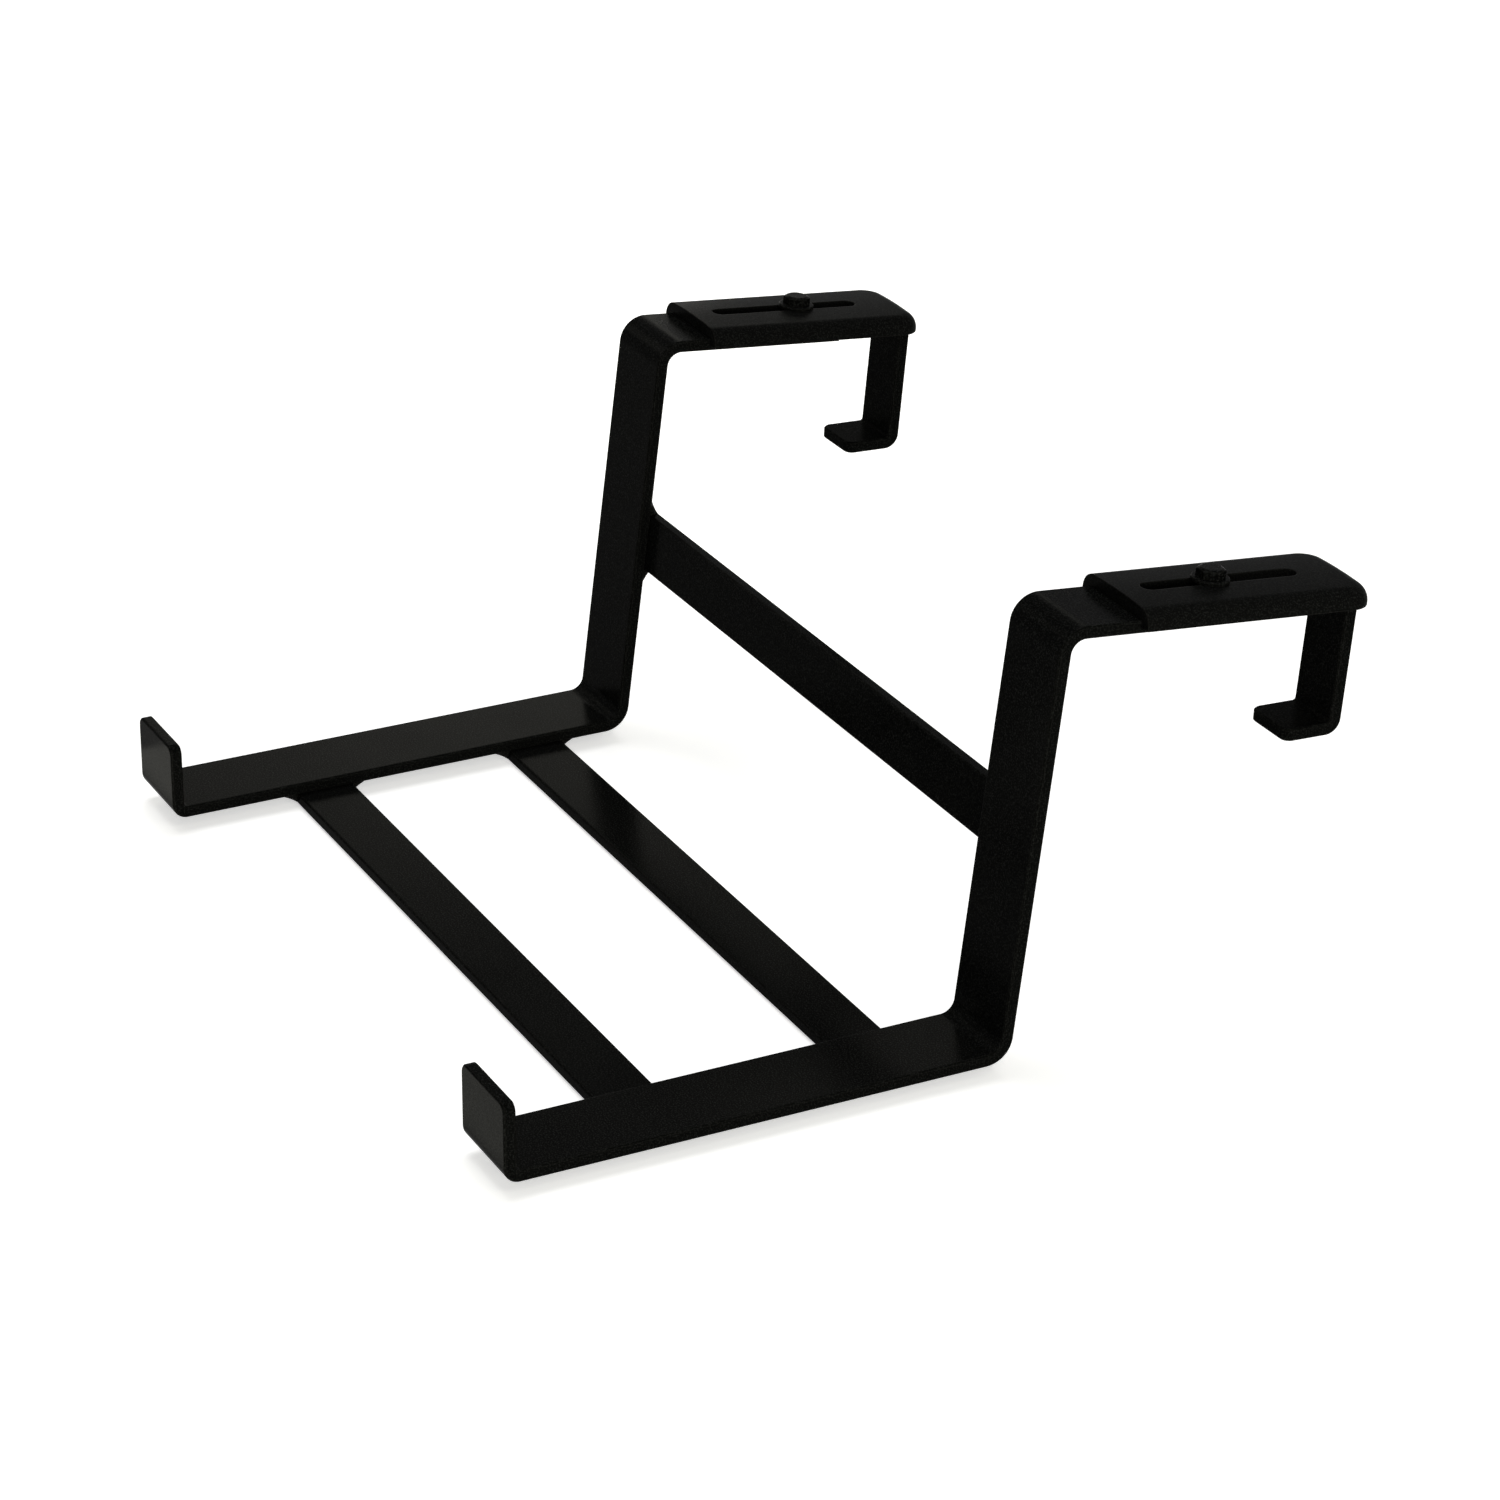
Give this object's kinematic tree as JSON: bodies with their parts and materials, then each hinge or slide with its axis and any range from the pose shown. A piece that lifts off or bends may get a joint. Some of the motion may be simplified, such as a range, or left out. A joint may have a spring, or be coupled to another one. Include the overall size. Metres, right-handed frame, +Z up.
{
  "type": "over-rail flower box bracket",
  "caption": "Adjustable over-rail flower box bracket of bent flat steel: lipped tray arms tied by cross bars, with slotted sliding hooks clamped by screws to grip the rail.",
  "frame": {"origin": "middle of the rail seat: halfway between the top arms, on the plane of their undersides, midway along the gap between risers and hook legs as set", "axes": "+X along the rail, +Y from the tray over the rail towards the hook legs, +Z up with the tray level"},
  "size_m": [0.3046, 0.2877, 0.1471],
  "materials": {
    "frame_coat": "satin black powder coat, finely speckled",
    "hook_coat": "satin black powder coat, finely speckled",
    "fastener_coat": "black coated screw and washer, satin"
  },
  "bodies": {
    "frame": {"left_bracket": "frame_coat", "right_bracket": "frame_coat", "front_tray_bar": "frame_coat", "rear_tray_bar": "frame_coat", "back_bar": "frame_coat", "left_bracket_welds": "frame_coat", "right_bracket_welds": "frame_coat"},
    "left_hook": {"left_hook_cap": "hook_coat", "left_hook_leg": "hook_coat", "left_hook_weld": "hook_coat"},
    "left_screw": {"left_clamp_screw": "fastener_coat", "left_washer": "fastener_coat"},
    "right_hook": {"right_hook_cap": "hook_coat", "right_hook_leg": "hook_coat", "right_hook_weld": "hook_coat"},
    "right_screw": {"right_clamp_screw": "fastener_coat", "right_washer": "fastener_coat"}
  },
  "joints": [
    {"name": "left_hook_slide", "type": "slide", "parent": "frame", "child": "left_hook", "axis": [0, 0.9957, -0.0924], "range_m": [-0.02, 0.0293]},
    {"name": "left_screw_turn", "type": "hinge", "parent": "frame", "child": "left_screw", "pos_m": [-0.1335, 0.00809, 0.00759], "axis": [0, 0.0924, 0.9957], "range_deg": [0, 540]},
    {"name": "right_hook_slide", "type": "slide", "parent": "frame", "child": "right_hook", "axis": [0, 0.9957, -0.0924], "range_m": [-0.0278, 0.0215]},
    {"name": "right_screw_turn", "type": "hinge", "parent": "frame", "child": "right_screw", "pos_m": [0.1335, 0.00809, 0.00759], "axis": [0, 0.0924, 0.9957], "range_deg": [0, 540]}
  ]
}
